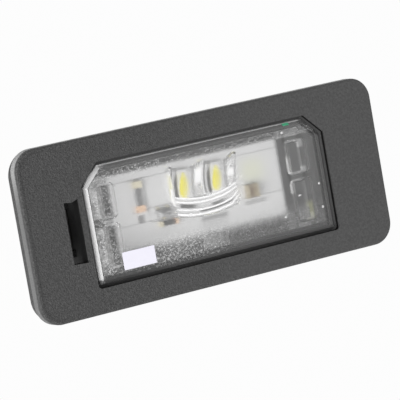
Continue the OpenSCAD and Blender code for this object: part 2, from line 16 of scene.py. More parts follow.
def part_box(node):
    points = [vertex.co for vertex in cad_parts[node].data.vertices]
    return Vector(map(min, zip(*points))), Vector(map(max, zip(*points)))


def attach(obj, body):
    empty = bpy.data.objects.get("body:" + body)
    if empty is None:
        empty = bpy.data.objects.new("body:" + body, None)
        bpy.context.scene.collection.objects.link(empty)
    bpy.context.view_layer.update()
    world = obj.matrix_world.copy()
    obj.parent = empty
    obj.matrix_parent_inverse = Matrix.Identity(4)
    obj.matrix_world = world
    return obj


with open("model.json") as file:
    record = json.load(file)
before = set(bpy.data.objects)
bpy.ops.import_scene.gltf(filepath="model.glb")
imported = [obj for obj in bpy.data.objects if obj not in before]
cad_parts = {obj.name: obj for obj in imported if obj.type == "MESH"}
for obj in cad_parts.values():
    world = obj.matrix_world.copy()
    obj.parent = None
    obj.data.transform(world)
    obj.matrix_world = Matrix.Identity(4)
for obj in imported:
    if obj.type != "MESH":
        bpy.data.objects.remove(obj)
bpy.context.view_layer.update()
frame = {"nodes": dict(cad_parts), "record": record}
nodes = frame["nodes"]
MM = 0.001


def box_mm(node):
    """A node's lower and upper corner and its middle, in millimetres."""
    low, high = (np.array(corner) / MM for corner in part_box(node))
    return low, high, (low + high) / 2


LENS_LOW, LENS_HIGH, LENS_MIDDLE = box_mm("lens")
OPTIC_LOW, OPTIC_HIGH, OPTIC_MIDDLE = box_mm("led_optic")
BODY_LOW, BODY_HIGH, _ = box_mm("housing")

# Sizes that repeat part.scad's: the bezel's corners, the gap round the lens, the lens's bevel,
# skirt wall and plate, and the air under the board.
BEZEL_R = 4.5
LENS_GAP = 0.7
BEVEL = 0.7
SKIRT_T = 1.35
PLATE_T = 1.25
BOARD_AIR = 4.0

BEZEL_FACE = BODY_HIGH[2]
LENS_FACE = LENS_HIGH[2]
LENS_UNDER = LENS_FACE - PLATE_T
BEVEL_FOOT = LENS_FACE - BEVEL
WELL_FLOOR = box_mm("circuit_board")[0][2] - BOARD_AIR

# What is seen through the slot, a little past its left edge, its two ends and the body's wall beyond its
# right edge: there the walls carry painted shade.
SLOT_X = (-33.15, -26.75)
SLOT_Y = (-7.55, 6.75)

# The two flutes of the optic are as far apart as the diodes behind them. STREAK_X is the middle of the
# left one's painted dark streak, and at FLUTE_Y both streaks stand upright.
FLUTE_PITCH = box_mm("led_package_right")[0][0] - box_mm("led_package_left")[0][0]
STREAK_X = OPTIC_LOW[0] + 1.1
FLUTE_Y = 2.6

# The lips as the photograph shows them: the middle of their arcs along X, and the radius of the
# outermost.
LIPS_X = OPTIC_MIDDLE[0] - 0.8
LIPS_R = 25.0

# The level at which the floor and the room are seen.
BACKGROUND = 0.98


# Shader sums.


class Wire:
    """A shader value that can stand in a formula: each sign adds its Math node."""

    def __init__(self, tree, socket):
        self.tree = tree
        self.socket = socket

    def math(self, operation, *values, clamp=False):
        """A Math node on one or two values."""
        settings = {"operation": operation, "use_clamp": clamp}
        return add_node(self.tree, "ShaderNodeMath", settings, dict(enumerate(values)))

    def __add__(self, other):
        return self.math("ADD", self, other)

    __radd__ = __add__

    def __mul__(self, other):
        return self.math("MULTIPLY", self, other)

    __rmul__ = __mul__

    def __sub__(self, other):
        return self.math("SUBTRACT", self, other)

    def __rsub__(self, other):
        return self.math("SUBTRACT", other, self)

    def __pow__(self, other):
        return self.math("POWER", self, other)

    def __abs__(self):
        return self.math("ABSOLUTE", self)

    def most(self, other):
        """The larger of two values."""
        return self.math("MAXIMUM", self, other)

    def held(self):
        """The value kept between 0 and 1."""
        return self.math("ADD", self, 0.0, clamp=True)


def plug(tree, slot, value):
    """Links a wire to a socket, or writes a plain value on it."""
    if isinstance(value, Wire):
        tree.links.new(value.socket, slot)
    elif isinstance(value, tuple) and len(slot.default_value) == 4:
        slot.default_value = (*value, 1.0)
    else:
        slot.default_value = value


def add_node(tree, kind, settings, sockets, output=0):
    """Adds a node: first its settings, then its sockets by name or number. Gives one output."""
    node = tree.nodes.new(kind)
    for name, value in settings.items():
        setattr(node, name, value)
    for name, value in sockets.items():
        plug(tree, node.inputs[name], value)
    return Wire(tree, node.outputs[output])


def socket_name(word):
    """A shader socket's name from an argument's: base_color becomes Base Color."""
    return word.replace("_", " ").title().replace("Ior", "IOR")


class Finish:
    """A material with one Principled shader; constants go on its own sockets."""

    def __init__(self, name, **constants):
        self.material = bpy.data.materials.new(name)
        self.material.use_nodes = True
        self.tree = self.material.node_tree
        self.shader = self.tree.nodes["Principled BSDF"]
        self.skin = Wire(self.tree, self.shader.outputs[0])
        self.set(**constants)

    def set(self, **values):
        """Sets the shader's sockets; an underscore stands for a space."""
        for name, value in values.items():
            plug(self.tree, self.shader.inputs[socket_name(name)], value)

    def millimetres(self):
        """Object coordinates in millimetres."""
        sockets = {0: add_node(self.tree, "ShaderNodeTexCoord", {}, {}, "Object"), 1: (1 / MM,) * 3}
        return add_node(self.tree, "ShaderNodeVectorMath", {"operation": "MULTIPLY"}, sockets)

    def axes(self):
        """The three object coordinates in millimetres as separate wires."""
        split = add_node(self.tree, "ShaderNodeSeparateXYZ", {}, {0: self.millimetres()})
        return [Wire(self.tree, output) for output in split.socket.node.outputs]

    def noise(self, size, detail=2.0, rough=0.5):
        """Noise whose lumps are about size millimetres wide, from 0 to 1."""
        sockets = {"Vector": self.millimetres(), "Scale": 1.0 / size, "Detail": detail, "Roughness": rough}
        return add_node(self.tree, "ShaderNodeTexNoise", {}, sockets)

    def cells(self, size):
        """Distance to the nearest of random points about size millimetres apart."""
        sockets = {"Vector": self.millimetres(), "Scale": 1.0 / size}
        return add_node(self.tree, "ShaderNodeTexVoronoi", {}, sockets)

    def ramp(self, value, low, high, start=0.0, end=1.0):
        """A smooth step from start at low to end at high."""
        sockets = {"Value": value, "From Min": low, "From Max": high, "To Min": start, "To Max": end}
        return add_node(self.tree, "ShaderNodeMapRange", {"interpolation_type": "SMOOTHSTEP"}, sockets)

    def stripe(self, value, centre, half):
        """1 along the middle third of a stripe and 0 beyond half its width."""
        return self.ramp(abs(value - centre), half, half * 0.35)

    def within(self, value, low, high, soft):
        """1 between low and high, fading over soft to both sides of each."""
        return self.ramp(value, low - soft, low + soft) * self.ramp(value, high + soft, high - soft)

    def blend(self, factor, first, second):
        """A colour that goes from first to second."""
        sockets = {0: factor, 6: first, 7: second}
        return add_node(self.tree, "ShaderNodeMix", {"data_type": "RGBA"}, sockets, 2)

    def veil(self, factor, **constants):
        """Covers what is there so far with one more shader, as far as factor says."""
        sockets = {socket_name(name): value for name, value in constants.items()}
        cover = add_node(self.tree, "ShaderNodeBsdfPrincipled", {}, sockets)
        self.skin = add_node(self.tree, "ShaderNodeMixShader", {}, {0: factor, 1: self.skin, 2: cover})
        plug(self.tree, self.tree.nodes["Material Output"].inputs["Surface"], self.skin)

    def bump(self, height, strength, distance):
        """Bends the shader's normal by a height that counts in steps of distance millimetres."""
        sockets = {"Strength": strength, "Distance": distance * MM, "Height": height}
        self.set(normal=add_node(self.tree, "ShaderNodeBump", {}, sockets))


def grey(level):
    """The linear colour of an equal grey written as 0 to 255."""
    value = level / 255
    linear = ((value + 0.055) / 1.055) ** 2.4 if value > 0.04045 else value / 12.92
    return (linear, linear, linear)


def tone(red, green, blue):
    """The linear colour of a display colour written as three numbers to 255."""
    return tuple(grey(part)[0] for part in (red, green, blue))


# Finishes.


def bezel_colour(f):
    """The bezel's uneven greys, paler to the right, a painted shade line along its left edge, and its side
    painted pale as if lit, palest at the upper edge.
    """
    x, y, z = f.axes()
    rightwards = f.ramp(x, -38.0, 38.0)
    mottled = f.noise(0.5, 3.0, 0.7)
    dark = f.blend(rightwards, grey(30), grey(51))
    light = f.blend(rightwards, grey(61), grey(69))
    face = f.blend(f.ramp(mottled, 0.3, 0.7), dark, light)
    # how far out from the corners' centres: the bezel's radius all along its outline
    beyond_x = (abs(x) - (BODY_HIGH[0] - BEZEL_R)).most(0.0)
    beyond_y = (abs(y) - (BODY_HIGH[1] - BEZEL_R)).most(0.0)
    outwards = (beyond_x * beyond_x + beyond_y * beyond_y) ** 0.5
    # painted shade: a dark line along the left edge
    shaded = f.within(outwards, BEZEL_R - 1.15, BEZEL_R - 0.8, 0.2) * f.ramp(x, -33.0, -38.0)
    face = f.blend(shaded * 0.7, face, grey(14))
    # painted light: the side is painted pale, as if lit, palest towards +Y
    side = f.ramp(outwards, BEZEL_R - 0.35, BEZEL_R - 0.1)
    side = side * f.ramp(z, BEZEL_FACE - 0.5, BEZEL_FACE - 0.9)
    return f.blend(side, face, f.blend(f.ramp(y, 6.0, 16.0), grey(92), grey(140)))


def inside_lens(f, outer, inner):
    """A mask with the lens's outline: 0 from outer millimetres beyond its sides, 1 from inner inwards."""
    x, y, _ = f.axes()
    reach = LENS_HIGH - LENS_MIDDLE
    across = f.ramp(abs(x - LENS_MIDDLE[0]), reach[0] + outer, reach[0] + inner)
    return across * f.ramp(abs(y - LENS_MIDDLE[1]), reach[1] + outer, reach[1] + inner)


def well(f):
    """1 inside the lamp's well, below the seat of the window, and 0 elsewhere."""
    z = f.axes()[2]
    depth = f.ramp(z, LENS_LOW[2] - 0.02, LENS_LOW[2] - 0.1)
    return inside_lens(f, -0.4, -0.5) * depth * f.ramp(z, WELL_FLOOR - 0.3, WELL_FLOOR - 0.1)


def black_moulding():
    """Black plastic: grained bezel with sides painted pale as if lit, and painted shade on the walls in
    the slot and the window's gap.
    """
    f = Finish("black_moulding", roughness=0.5)
    x, y, z = f.axes()
    f.set(base_color=f.blend(well(f), bezel_colour(f), grey(98)))

    sunk = f.ramp(z, BEZEL_FACE - 0.25, BEZEL_FACE - 0.45)
    # painted shade: the gap round the window is painted near black near the face and grey deeper down
    gap = inside_lens(f, LENS_GAP + 0.3, LENS_GAP + 0.2) * f.ramp(z, 0.0, 0.2)
    gap_shade = f.blend(f.ramp(z, BEZEL_FACE - 1.2, BEZEL_FACE - 0.95), grey(70), grey(9))
    f.veil(sunk * gap, base_color=gap_shade, roughness=0.9, specular_ior_level=0.1)

    # painted shade: the slot's walls are painted near black, greyer deeper down
    slot = f.within(x, *SLOT_X, 0.1) * f.within(y, *SLOT_Y, 0.1)
    slot = slot * f.ramp(z, -6.2, -5.8) * (1 - well(f))
    slot_shade = f.blend(f.ramp(z, 3.0, 0.0), grey(20), grey(54))
    f.veil(sunk * slot, base_color=slot_shade, roughness=0.9, specular_ior_level=0.1)

    # the grain stands out more to the left
    grain = f.cells(0.34) * 0.7 + f.noise(0.26, 3.0, 0.7) * 1.1
    tooth = f.ramp(x, 34.0, -22.0, 0.22, 1.2)
    f.bump(grain * tooth, 1.0, 0.13)
    return f.material


def foam():
    """Dark closed-cell foam of the gasket."""
    f = Finish("foam", roughness=0.95)
    pits = f.cells(0.4)
    f.set(base_color=f.blend(f.ramp(pits, 0.1, 0.6), grey(36), grey(66)))
    f.bump(pits, 0.9, 0.15)
    return f.material


def window_places(f):
    """The window's axes, and a mask for each of its places: 1 there and 0 elsewhere.

    The plate is what lies inside the skirt. The bevel and the edge start at the face, and
    the edge reaches further down the side.
    """
    x, y, z = f.axes()
    plate = inside_lens(f, 0.1 - SKIRT_T, -0.1 - SKIRT_T)
    below_face = f.ramp(z, LENS_FACE - 0.01, LENS_FACE - 0.05)
    return SimpleNamespace(
        x=x,
        y=y,
        z=z,
        plate=plate,
        face=f.ramp(z, LENS_FACE - 0.06, LENS_FACE - 0.02),
        under=f.ramp(z, LENS_UNDER + 0.06, LENS_UNDER + 0.02) * plate,
        bevel=below_face * f.ramp(z, BEVEL_FOOT - 0.06, BEVEL_FOOT - 0.02),
        edge=below_face * f.ramp(z, LENS_FACE - 1.2, LENS_FACE - 1.1),
    )


def stipple(f, window):
    """The stipple under the window's long edges and its left end, with pale dots and milky lumps."""
    x, y = window.x, window.y
    wander = f.noise(1.3, 4.0, 0.75) - 0.5
    fine = f.noise(0.35, 3.0, 0.8)
    lower = f.ramp(y + wander * 3.6, -4.9, -7.0)
    upper = f.ramp(y + wander * f.ramp(x, -4.0, -16.0, 0.5, 1.8), 8.35, 8.85)
    left = f.ramp(x + wander * 1.6, -21.0, -22.4)
    left = left * f.ramp(y - f.ramp(x, -24.0, -22.5) * 2.0, -9.0, -7.8, 0.3, 1.0)
    frost = (lower + upper + left * 0.85).held()

    # painted light: the stipple is painted pale in front of the lit board and the lug, and dark in front
    # of the unlit well
    over_board = f.ramp(y + wander * 2.5, -8.7, -5.4) * f.ramp(y, 8.6, 7.4)
    over_board = over_board * f.ramp(x, -22.5, -21.5) * f.ramp(x, 18.6, 17.6)
    lug = f.within(x, -2.5, 2.7, 0.2) * f.within(y, -9.7, -7.3, 0.2)
    paler = f.within(y, 8.3, 9.1, 0.3) * 0.6
    paler = paler + f.ramp(y, 0.0, -1.0) * f.within(x, -21.0, -4.0, 1.0) * 0.1
    dark = f.blend(paler, f.blend(f.ramp(fine, 0.35, 0.65), grey(84), grey(120)), grey(180))
    colour = f.blend((over_board + lug * 0.3).held(), dark, grey(206))
    dense = f.ramp(fine, 0.35, 0.65, 0.5, 0.95).most(f.ramp(y, -5.8, -6.8) * 0.97)
    f.veil(
        frost * window.under * dense,
        base_color=colour, roughness=0.6, ior=1.3, transmission_weight=0.3,
    )

    # the same stipple seen on the face, a little to the left because of the plate's thickness
    slid = x + 0.7
    skirt_top = LENS_HIGH[1] - SKIRT_T
    upper = f.ramp(y, 8.5, 8.8) * f.ramp(y, skirt_top + 0.2, skirt_top)
    lower = f.ramp(y + wander * 2.2, -5.0, -7.0) * f.ramp(slid, 8.0, 0.0, 0.15, 1.0)
    spots = (upper + lower + f.ramp(slid, -21.4, -23.0)).held()
    spots = spots * f.ramp(f.noise(0.5, 2.0, 0.6), 0.5, 0.62) * window.face
    stronger = f.within(slid, -19.0, -1.0, 2.0) * f.ramp(y, -6.0, -7.5) * 0.16
    f.veil(spots * (stronger + 0.24), base_color=grey(222), roughness=0.6)

    left_strip = f.within(x, -26.4, -24.4, 0.3)
    lumps = f.ramp(f.noise(2.4, 3.0, 0.6), 0.3, 0.7, 0.1, 0.5)
    milky = left_strip * f.ramp(y, -9.5, -7.0, 0.3, 1.0) * f.ramp(abs(y), 0.6, 1.4) * lumps
    dots = f.ramp(f.cells(0.42), 0.45, 0.2) * f.ramp(f.noise(1.5, 3.0, 0.7), 0.42, 0.58)
    dots = dots * frost * f.ramp(x + y * 0.5, -31.5, -28.5)
    dots = dots * (left_strip * f.ramp(y, 0.0, -2.0) * 0.4 + f.ramp(x, 3.0, -3.0) * 0.3 + 0.3)
    f.veil((dots * window.under + milky * window.under).held() * 0.9, base_color=grey(236), roughness=0.5)


def window_frames(f, window):
    """The moulded frames under the plate: painted highlights on their inner bars, fainter painted light
    elsewhere, and a painted light haze between them.
    """
    x, y = window.x, window.y
    frame_mask = f.ramp(window.z, LENS_UNDER - 0.02, LENS_UNDER - 0.1) * window.plate
    left_inner = f.within(x, -22.0, -15.0, 0.2)
    tint = f.blend(f.ramp(x, -10.0, 10.0), grey(158), grey(84))
    tint = f.blend(left_inner, tint, grey(206))
    f.veil(frame_mask * (0.65 - left_inner * 0.5), base_color=tint, roughness=0.6)

    # painted highlights on the frames' bars and blocks
    inner_bar = f.within(x, 19.6, 20.9, 0.3) * (f.within(y, 1.0, 4.4, 0.4) + f.within(y, -3.2, -0.6, 0.3))
    cross_bar = f.stripe(y, 7.5, 0.4) + f.stripe(y, 0.9, 0.5) + f.stripe(y, -0.6, 0.4)
    cross_bar = f.ramp(x, 19.0, 19.5) * f.ramp(x, 23.6, 22.9) * cross_bar
    blocks = f.within(y, 5.9, 7.6, 0.3) + f.within(y, 0.7, 1.9, 0.3) + f.within(y, -9.2, -7.8, 0.3)
    blocks = f.within(x, 22.9, 24.9, 0.25) * blocks
    blocks = blocks + f.within(x, -23.4, -21.4, 0.3) * f.within(y, -10.0, -8.4, 0.3)
    lit = (inner_bar * 0.3 + cross_bar * 0.24 + blocks * 0.24 + 0.03).held()
    # painted light: a faint pale haze on the plate between the frames
    between = f.within(x, 20.3, 23.3, 0.2) * 0.1 + f.within(x, 18.0, 19.7, 0.2) * 0.08
    between = window.under * (1 - frame_mask) * between
    f.veil(frame_mask * lit + between, base_color=grey(232), roughness=0.45)

    yellowed = f.within(x, 23.0, 25.0, 0.4) * f.within(y, -8.9, -5.6, 0.8)
    f.veil(frame_mask * yellowed * 0.4, base_color=tone(166, 168, 128), roughness=0.5)


def rim(f, window):
    """The window's rim: painted highlights on the bevel at the left, along the top edge and on the top
    side, painted shade at the right, below and on the skirt, and a green fleck.
    """
    x, y, z = window.x, window.y, window.z
    left, low, _ = LENS_LOW
    right, high, _ = LENS_HIGH
    face, bevel = window.face, window.bevel
    outside = 1 - window.plate
    # painted highlights: the left bevel and the top edge are painted pale, as if lit
    satin = bevel * f.ramp(x, left + 6.0, left + 2.5) * f.ramp(y, low + 0.6, low + 1.2)
    top_edge = bevel * f.within(y, high - 0.22, high + 0.1, 0.03)
    haze_and_highlight = outside * face * 0.05 + bevel * 0.08 + satin * 0.6 + top_edge * 0.65
    haze_and_highlight = haze_and_highlight + window.plate * face * 0.03
    f.veil(haze_and_highlight.held(), base_color=grey(235), roughness=0.5)

    # painted shade: away from the light the bevel and the side are painted a dull grey in the black walls'
    # place
    rightmost = f.ramp(x, right - SKIRT_T - 0.1, right - SKIRT_T + 0.3)
    dull = (f.ramp(x, right - 5.0, right - 4.0) + f.ramp(y, low + 0.9, low + 0.75)).held()
    rim_shade_grey = f.blend(rightmost, grey(86), grey(64))
    f.veil(window.edge * dull * outside * 0.85, base_color=rim_shade_grey, roughness=0.6)
    f.veil(outside * face * rightmost * 0.8, base_color=grey(68), roughness=0.6)

    # painted shade: the lower rim is painted darker towards its left end
    lowest = f.ramp(y, low + SKIRT_T + 0.1, low + SKIRT_T - 0.1) * f.ramp(x, -6.0, -22.0, 0.35, 0.85)
    lowest = (face + bevel).held() * f.ramp(x, left + 0.9, left + 1.3) * lowest
    lowest_shade_grey = f.blend(f.ramp(x, -22.0, 0.0), grey(50), grey(76))
    f.veil(outside * lowest, base_color=lowest_shade_grey, roughness=0.6)

    # painted shade: the skirt is painted grey
    skirt = 1 - inside_lens(f, -0.05 - SKIRT_T, -0.15 - SKIRT_T)
    skirt = skirt * f.ramp(z, LENS_FACE - 1.1, LENS_FACE - 1.2)
    f.veil(skirt * 0.85, base_color=grey(76), roughness=0.6)
    # painted highlight: the top side is painted near white
    top_side = f.ramp(y, high - 0.08, high - 0.03) * f.ramp(z, BEVEL_FOOT, BEVEL_FOOT - 0.05)
    f.veil(top_side * 0.8, base_color=grey(245), roughness=0.5)
    fleck = bevel * f.within(x, 19.9, 21.4, 0.15) * f.within(y, high - 0.6, high - 0.1, 0.05)
    f.veil(fleck * 0.95, base_color=tone(84, 200, 150), roughness=0.5)


def clear_cover():
    """Clear plastic of the flush window: satin beneath, glossy on its face, with all that is on it,
    painted light and shade among them.
    """
    f = Finish("clear_cover", base_color=grey(252), ior=1.1, transmission_weight=1.0, coat_ior=1.5)
    window = window_places(f)
    satin = f.ramp(window.z, LENS_UNDER + 0.3, LENS_UNDER + 0.1, 0.05, 0.62)
    f.set(roughness=satin, alpha=0.5, coat_weight=window.face)
    stipple(f, window)
    window_frames(f, window)
    rim(f, window)
    return f.material


def flutes(f, front):
    """The painted shade of the two flutes over their diodes: dark streaks over a painted pale veil.
    Returns a painted glint, painted bright together with the lips.
    """
    x, y, _ = f.axes()
    tall = y - FLUTE_Y
    # a flute's own coordinate: 0 at the middle of its dark streak, the same for both flutes
    along = x - tall * tall * 0.04 - STREAK_X
    along = along - f.ramp(along, FLUTE_PITCH * 0.78, FLUTE_PITCH * 0.79) * FLUTE_PITCH
    fluted = f.ramp(y, 0.6, 1.4) * f.ramp(y, 8.0, 7.0) * front
    phosphor = f.within(along, 0.5, 3.1, 0.25) * f.within(y, 1.0, 6.4, 0.3)
    # painted light: a pale veil over the flutes, left off the phosphors
    f.veil(fluted * (1 - phosphor) * 0.35, base_color=grey(222), roughness=0.3)
    # a painted pale wedge leaves the diodes a slanting left side
    slant = f.ramp(along - tall * 0.2, 0.8, 0.5) * f.ramp(along, 0.3, 0.5) * f.within(y, 2.2, 6.8, 0.3)
    f.veil(slant * front * 0.7, base_color=grey(214), roughness=0.3)

    # painted shade: dark streaks on the flutes
    streaks = f.stripe(along, -1.2, 0.3) * 0.7 + f.stripe(along, -0.05, 0.6) * f.ramp(y, 7.4, 4.4) * 0.7
    streaks = streaks + f.within(along, -1.1, 0.2, 0.3) * 0.4 + f.stripe(along, 3.9, 0.6) * 0.35
    # one more painted dark line follows the optic's right end
    right_end = x - 7.3 - (y - 2.2) * (y - 2.2) * 0.04
    streaks = streaks + f.stripe(right_end, 0.0, 0.2) * 0.4

    # painted shade: grey lines along the two scallops and dark tips at the upper corners
    bay = abs(x - OPTIC_MIDDLE[0]) - FLUTE_PITCH / 2
    above = y - bay * bay * 0.075 - 6.75
    rims = f.stripe(above, 0.0, 0.22) * 0.2 + f.within(above, -0.7, 0.0, 0.1) * 0.12
    tips = f.ramp(abs(abs(x - OPTIC_MIDDLE[0]) - 7.75), 0.35, 0.15) * f.ramp(abs(y - 7.8), 0.35, 0.15)
    darkened = (streaks * fluted * 0.85 + (rims + tips) * front).held()
    f.veil(darkened, base_color=grey(84), roughness=0.3)

    # painted highlight: a glint on each flute's right wall
    crown = 6.3 - f.ramp(x, 2.0, 4.0) * 1.4
    glint = f.within(along, 4.5, 5.9, 0.3) * f.ramp(y, 3.1, 4.0) * f.ramp(y - crown, 0.4, -0.5)
    return glint * fluted


def lips(f, front, glint):
    """The lower lips: painted highlights in arcs about one centre, painted pale fill in them and painted
    shade in dark streaks between.
    """
    x, y, _ = f.axes()
    # distance inwards from the lower edge, less at the right end, where the lower lip turns up
    sides = x - LIPS_X
    height = y - (OPTIC_LOW[1] + LIPS_R)
    inwards = LIPS_R - (sides * sides + height * height) ** 0.5
    inwards = inwards - f.ramp(x, 5.2, 8.2, 0.0, 0.9) * f.ramp(inwards, 3.4, 2.6)
    spread = f.within(x, OPTIC_LOW[0] + 0.5, OPTIC_HIGH[0] - 1.4, 0.2)

    # two lips, each between two arcs
    lower_lip = (0.7, 1.65)
    upper_lip = (3.15, 3.95)
    fill = f.within(inwards, *upper_lip, 0.15) + f.within(inwards, *lower_lip, 0.15) * 0.7
    f.veil(fill * spread * front * 0.7, base_color=grey(214), roughness=0.3)

    # painted shade: dark streaks between the lips, laid over a painted paler band
    left_dark = f.stripe(inwards, 2.45, 0.55) * f.ramp(x, -6.8, -5.9) * f.ramp(x, -1.6, -4.4)
    right_dark = f.stripe(inwards, 2.1, 0.5) * f.ramp(x, 0.2, 1.6) * f.ramp(x, 5.0, 3.0) * 0.8
    thin_dark = f.stripe(inwards, 1.3, 0.2) * f.within(x, -2.1, 6.2, 0.6) * 0.8
    f.veil(f.within(inwards, 1.6, 3.1, 0.2) * spread * front * 0.45, base_color=grey(206), roughness=0.3)
    between = (left_dark * 1.15 + right_dark + thin_dark * 1.3).held()
    f.veil(between * front * 0.9, base_color=grey(84), roughness=0.3)

    # painted highlights: bright arcs along the lips' edges, the glint and the left wing
    arcs = f.stripe(inwards, lower_lip[0], 0.26) + f.stripe(inwards, lower_lip[1], 0.22)
    arcs = arcs + f.stripe(inwards, upper_lip[0], 0.24) + f.stripe(inwards, upper_lip[1], 0.22)
    left_wing = f.ramp(x, OPTIC_LOW[0] + 0.45, OPTIC_LOW[0] + 0.25) * f.ramp(y, 5.2, 4.2)
    bright = (arcs * spread * front + glint * 0.9 + left_wing * 0.7).held()
    f.veil(bright, base_color=grey(255), roughness=0.3)


def clear_optic():
    """Clear plastic of the sculpted optic: painted shade in dark streaks at its flutes, painted highlights
    on its lips and edges.
    """
    f = Finish("clear_optic", base_color=grey(252), roughness=0.03, ior=1.49, transmission_weight=1.0)
    f.set(alpha=0.6)
    front = f.ramp(f.axes()[2], OPTIC_HIGH[2] - 0.3, OPTIC_HIGH[2] - 0.2)
    glint = flutes(f, front)
    lips(f, front, glint)
    return f.material


def board_white():
    """White solder resist with faint tracks, part outlines, a painted shadow below the optic and a warm
    tint to the right of the optic.
    """
    f = Finish("board_white", roughness=0.5)
    x, y, _ = f.axes()

    def beside(x0, x1, y0, y1):
        """How far a point lies outside a rectangle's sides, along x and along y."""
        across = abs(x - (x0 + x1) / 2) - (x1 - x0) / 2
        up = abs(y - (y0 + y1) / 2) - (y1 - y0) / 2
        return across, up

    def outline(*rectangle):
        """1 along the four sides of a rectangle."""
        across, up = beside(*rectangle)
        half = 0.09
        return f.ramp(abs(across.most(up)), half * 1.6, half * 0.6)

    def patch(*rectangle, soft=0.12):
        """1 within a rectangle."""
        across, up = beside(*rectangle)
        return f.ramp(across, soft, -soft) * f.ramp(up, soft, -soft)

    tracks_and_shadow = f.ramp(abs(y - 6.6), 0.13, 0.05) + f.ramp(abs(y + 2.3), 0.13, 0.05)
    tracks_and_shadow = tracks_and_shadow + outline(-15.2, -11.6, -0.1, 6.6) + outline(-11.4, -6.4, -2.6, 0.3)
    tracks_and_shadow = tracks_and_shadow + patch(-14.2, -12.7, -2.3, -0.7) * 1.4 + patch(11.0, 16.2, -3.8, -2.9) * 0.8
    # painted shadow: the grey patches below the optic's lips
    tracks_and_shadow = tracks_and_shadow + patch(0.2, 6.7, -4.8, -4.0, soft=0.5) * 1.1
    tracks_and_shadow = tracks_and_shadow + patch(0.4, 6.4, -6.8, -4.4, soft=0.6) * 0.35
    white = f.blend(f.noise(6.0, 2.0), grey(209), grey(217))
    warm = f.ramp(abs(x - 14.0), 4.5, 0.5) * f.ramp(abs(y - 3.0), 4.0, 0.5)
    white = f.blend(warm * 0.35, white, tone(214, 218, 172))
    f.set(base_color=f.blend((tracks_and_shadow * 0.6).held(), white, grey(130)))
    return f.material


def slab_dark():
    """The resistor's coated slab, whose long edges blur into the board."""
    f = Finish("slab_dark", roughness=0.4)
    _, _, middle = box_mm("resistor_slab")
    edges = f.ramp(abs(f.axes()[0] - middle[0]), 0.3, 0.95)
    f.set(base_color=f.blend(edges, grey(124), grey(180)))
    return f.material


def mottled_part(name, dark, light, size):
    """A small part in two colours, in patches about size millimetres wide."""
    f = Finish(name, roughness=0.5)
    f.set(base_color=f.blend(f.ramp(f.noise(size, 3.0, 0.6), 0.4, 0.6), dark, light))
    return f.material


def plain(name, colour, roughness, metallic=0.0):
    """One even finish."""
    return Finish(name, base_color=colour, roughness=roughness, metallic=metallic).material


FINISHES = {
    "black_moulding": black_moulding(),
    "foam": foam(),
    "clear_cover": clear_cover(),
    "clear_optic": clear_optic(),
    "board_white": board_white(),
    "package_white": plain("package_white", grey(236), 0.4),
    "phosphor": plain("phosphor", tone(236, 226, 72), 0.5),
    "slab_dark": slab_dark(),
    "tinned": plain("tinned", tone(206, 200, 180), 0.4, 0.2),
    "diode_dark": plain("diode_dark", grey(92), 0.4),
    "capacitor_brown": mottled_part("capacitor_brown", tone(104, 90, 80), tone(160, 150, 132), 1.6),
    "chip_grey": mottled_part("chip_grey", grey(118), grey(206), 1.4),
    "blade": plain("blade", grey(190), 0.3, 1.0),
    "solder": plain("solder", grey(190), 0.35, 1.0),
    "spring_steel": plain("spring_steel", grey(150), 0.32, 1.0),
}

for part in frame["record"]["subparts"]:
    mesh = nodes[part["node"]].data
    mesh.materials.clear()
    mesh.materials.append(FINISHES[part["material_slot"]])

# The lower end of the resistor and the right end of the diode show their copper.
for name in ("resistor_end_lower", "diode_end_right"):
    nodes[name].data.materials[0] = plain("coppery_" + name, tone(216, 188, 164), 0.4, 0.2)

# The capacitor's ends are dull.
for name in ("capacitor_end_left", "capacitor_end_right"):
    nodes[name].data.materials[0] = plain("dull_" + name, tone(168, 160, 142), 0.5, 0.2)

# The clear plastic throws no shadow on the board and has no part in the light that bounces there.
for name in ("lens", "led_optic"):
    nodes[name].visible_shadow = False
    nodes[name].visible_diffuse = False


# Pieces added to the solids.


def add_piece(name, points, faces, material, smooth=False):
    """Puts points in millimetres into a mesh that rides on the lamp."""
    mesh = bpy.data.meshes.new(name)
    mesh.from_pydata((points * MM).tolist(), [], [tuple(int(i) for i in face) for face in faces])
    mesh.polygons.foreach_set("use_smooth", np.full(len(mesh.polygons), smooth))
    mesh.materials.append(material)
    piece = bpy.data.objects.new(name, mesh)
    bpy.context.scene.collection.objects.link(piece)
    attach(piece, "root")


def rounded_plate(x0, x1, y0, y1, z0, z1, radius, steps=6):
    """A flat plate with rounded corners: its outline at two heights, each a closed loop.

    A corner's points are its centre plus the radius times the cosine and sine of an angle
    that runs over a quarter turn.
    """
    quarter = np.linspace(0.0, np.pi / 2, steps)
    outline = []
    for k, (x, y) in enumerate(((x1, y1), (x0, y1), (x0, y0), (x1, y0))):
        inwards = np.array([-1 if x == x1 else 1, -1 if y == y1 else 1])
        angle = quarter + k * np.pi / 2
        outline.append((x, y) + radius * inwards + radius * np.stack([np.cos(angle), np.sin(angle)], 1))
    outline = np.concatenate(outline)
    n = len(outline)
    points = np.concatenate([np.c_[outline, np.full(n, z0)], np.c_[outline, np.full(n, z1)]])
    lower = np.arange(n)
    after = np.roll(lower, -1)
    faces = [lower[::-1], lower + n, *np.stack([lower, after, after + n, lower + n], 1)]
    return points, faces


def blank_label():
    """The bare pale plate at the window's lower left, on the lens's face."""
    left, right, low, high = -22.05, -14.6, -10.0, -6.45
    sunk, proud, corner = 0.02, 0.05, 0.15
    points, faces = rounded_plate(left, right, low, high, LENS_FACE - sunk, LENS_FACE + proud, corner)
    pale = Finish("blank_label", roughness=0.55)
    cloud = pale.noise(3.0, 2.0)
    pale.set(base_color=pale.blend(cloud, tone(234, 232, 244), tone(240, 238, 249)))
    add_piece("blank_label", points, faces, pale.material)


